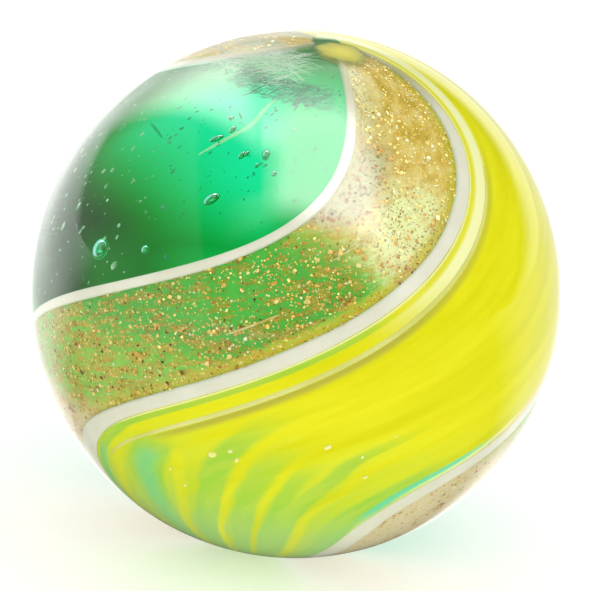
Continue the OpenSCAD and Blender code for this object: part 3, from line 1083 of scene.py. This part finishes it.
# --- Room ---
# An even white room with one large soft lamp overhead, given as levels of light by
# direction: one set that lights and shows it, and one for what the polished skin mirrors.
lamp_most = 9.5
world = bpy.data.worlds.new("white room")
world.use_nodes = True
bpy.context.scene.world = world
tree = world.node_tree
tree.nodes.clear()


def mix_levels(share, first, second):
    """The first level where the share is 0 and the second where it is 1."""
    return node(share.tree, "Mix", {0: share, 2: first, 3: second}, data_type="FLOAT")


way = node(tree, "TexCoord", output="Generated")
x_way = facing(way, (1, 0, 0))
y_way = facing(way, (0, 1, 0))
z_way = facing(way, (0, 0, 1))

# The room before the ball is dark, a grey wall stands to the left, and the pale far side of
# the room shows low down all round the rim.
leftward = facing(way, (-0.91, 0.198, -0.364))
wall = ramp(leftward, 0.31, 0.38, 0.04, 0.5) + ramp(leftward, 0.6, 0.9, 0.0, 0.32)
low_side = ramp(facing(way, (0, -0.41, 0.912)), -0.08, -0.25)
low_side = low_side * ramp(x_way, -0.15, -0.5, 1.3, 2.05)

# The pale ceiling behind, brighter to the left.
left_part = ramp(z_way, 0.2, 0.7, 2.2, 7.2)
right_part = ramp(z_way, 0.15, 0.5, 1.1, 2.4)
ceiling = mix_levels(ramp(x_way, -0.42, -0.27), left_part, right_part)
ceiling = ceiling * ramp(facing(way, (-0.80, -0.52, -0.30)), 0.135, -0.085)
ceiling = ceiling * ramp(x_way, 0.26, 0.08)
low_part = ramp(x_way, -0.22, -0.06) * ramp(z_way, 0.72, 0.62)
ceiling = ceiling * (1.0 - low_part * 0.7)
mirrored = greatest(wall, low_side, ceiling)

# The lamp has a straight sharp edge on its left and is soft on the other sides. It is weaker
# towards the back and along the near end of the sharp edge.
lamp = ramp(x_way, -0.345, -0.30) * ramp(facing(way, (0.09, 0.808, 0.582)), -0.16, 0.14)
lamp = lamp * ramp(facing(way, (1.0, 0.45, 0)), 0.42, 0.19) * ramp(y_way, 0.66, 0.48)
near_end = ramp(y_way, -0.2, 0.03, 0.1, 0.66)
lamp_level = ramp(y_way, 0.55, -0.05, 3.0, 12.5) * ramp(x_way, -0.34, -0.06, near_end, 1.0)
mirrored = mix_levels(lamp, mirrored, maths("MINIMUM", lamp_level, lamp_most))

# Two weak patches of light in front of the lamp.
spill = ramp(x_way, -0.6, -0.3) * ramp(y_way, -0.42, -0.5) * ramp(y_way, -0.72, -0.6)
spill = spill * ramp(z_way, 0.1, 0.45)
pool = ramp(facing(way, (0.454, -0.395, 0.799)), 0.80, 1.0)
mirrored = mirrored + spill + pool

# What lights the ball is brighter from above. What shows through it darkens to the horizon.
plain = ramp(facing(way, (0.35, -0.40, 0.85)), -0.8, 0.9, 0.66, 1.08)
across = x_way / greatest(y_way, 0.05)
near_horizon = ramp(across, 0.28, 0.08, 0.08, 0.42) + ramp(across, 0.7, 0.4, 0.0, 0.14)
low = mix_levels(ramp(z_way, 0.02, 0.24), near_horizon, 1.0)
low = mix_levels(ramp(facing(way, (0.3, 0.95, 0)), 0.0, 0.4), 1.0, low)
through = greatest(low, ray(tree, "Camera"))
seen = greatest(ray(tree, "Camera"), ray(tree, "Transmission"))
dull = ray(tree, "Glossy") * (1.0 - ray(tree, "Singular"))
level = mix_levels(seen, plain, through) + dull * lamp * 3.0
level = mix_levels(sharp_mirror(tree), level, mirrored)
blue = mix_levels(seen, 1.0, through**2.3 / through)
cast = node(tree, "CombineColor", {0: 1.0, 1: 1.0, 2: blue})
room = node(tree, "Background", {"Color": cast, "Strength": level})
new_node(tree, "OutputWorld", {"Surface": room})

# --- Camera ---
# Looking down at the ball from 18 degrees, with the swirl's axis leaning 7.5 degrees to the
# right, from far enough back to draw it without strong perspective.
camera_far = 20 * ball_r
lift = np.radians(18)
tip = np.radians(7.5)
picture_width = 598
ball_half_width = 265
film_width = 36
camera_data = bpy.data.cameras.new("camera")
camera = put_in_scene("camera", camera_data)
bpy.context.scene.camera = camera
back = np.array([0, -np.cos(lift), np.sin(lift)])
level_right = np.array([1.0, 0, 0])
upright = np.cross(back, level_right)
right = np.cos(tip) * level_right + np.sin(tip) * upright
above = np.cos(tip) * upright - np.sin(tip) * level_right
camera_turn = np.stack([right, above, back, back * camera_far], axis=1)
camera.matrix_world = Matrix([*camera_turn.tolist(), (0, 0, 0, 1)])
half_view = np.tan(np.arcsin(ball_r / camera_far)) * picture_width / 2 / ball_half_width
camera_data.sensor_fit = "HORIZONTAL"
camera_data.sensor_width = film_width
camera_data.lens = film_width / 2 / half_view
camera_data.clip_start = 0.01
camera_data.shift_x = 3 / picture_width
camera_data.shift_y = -2 / picture_width

bpy.context.scene.view_settings.view_transform = "Standard"
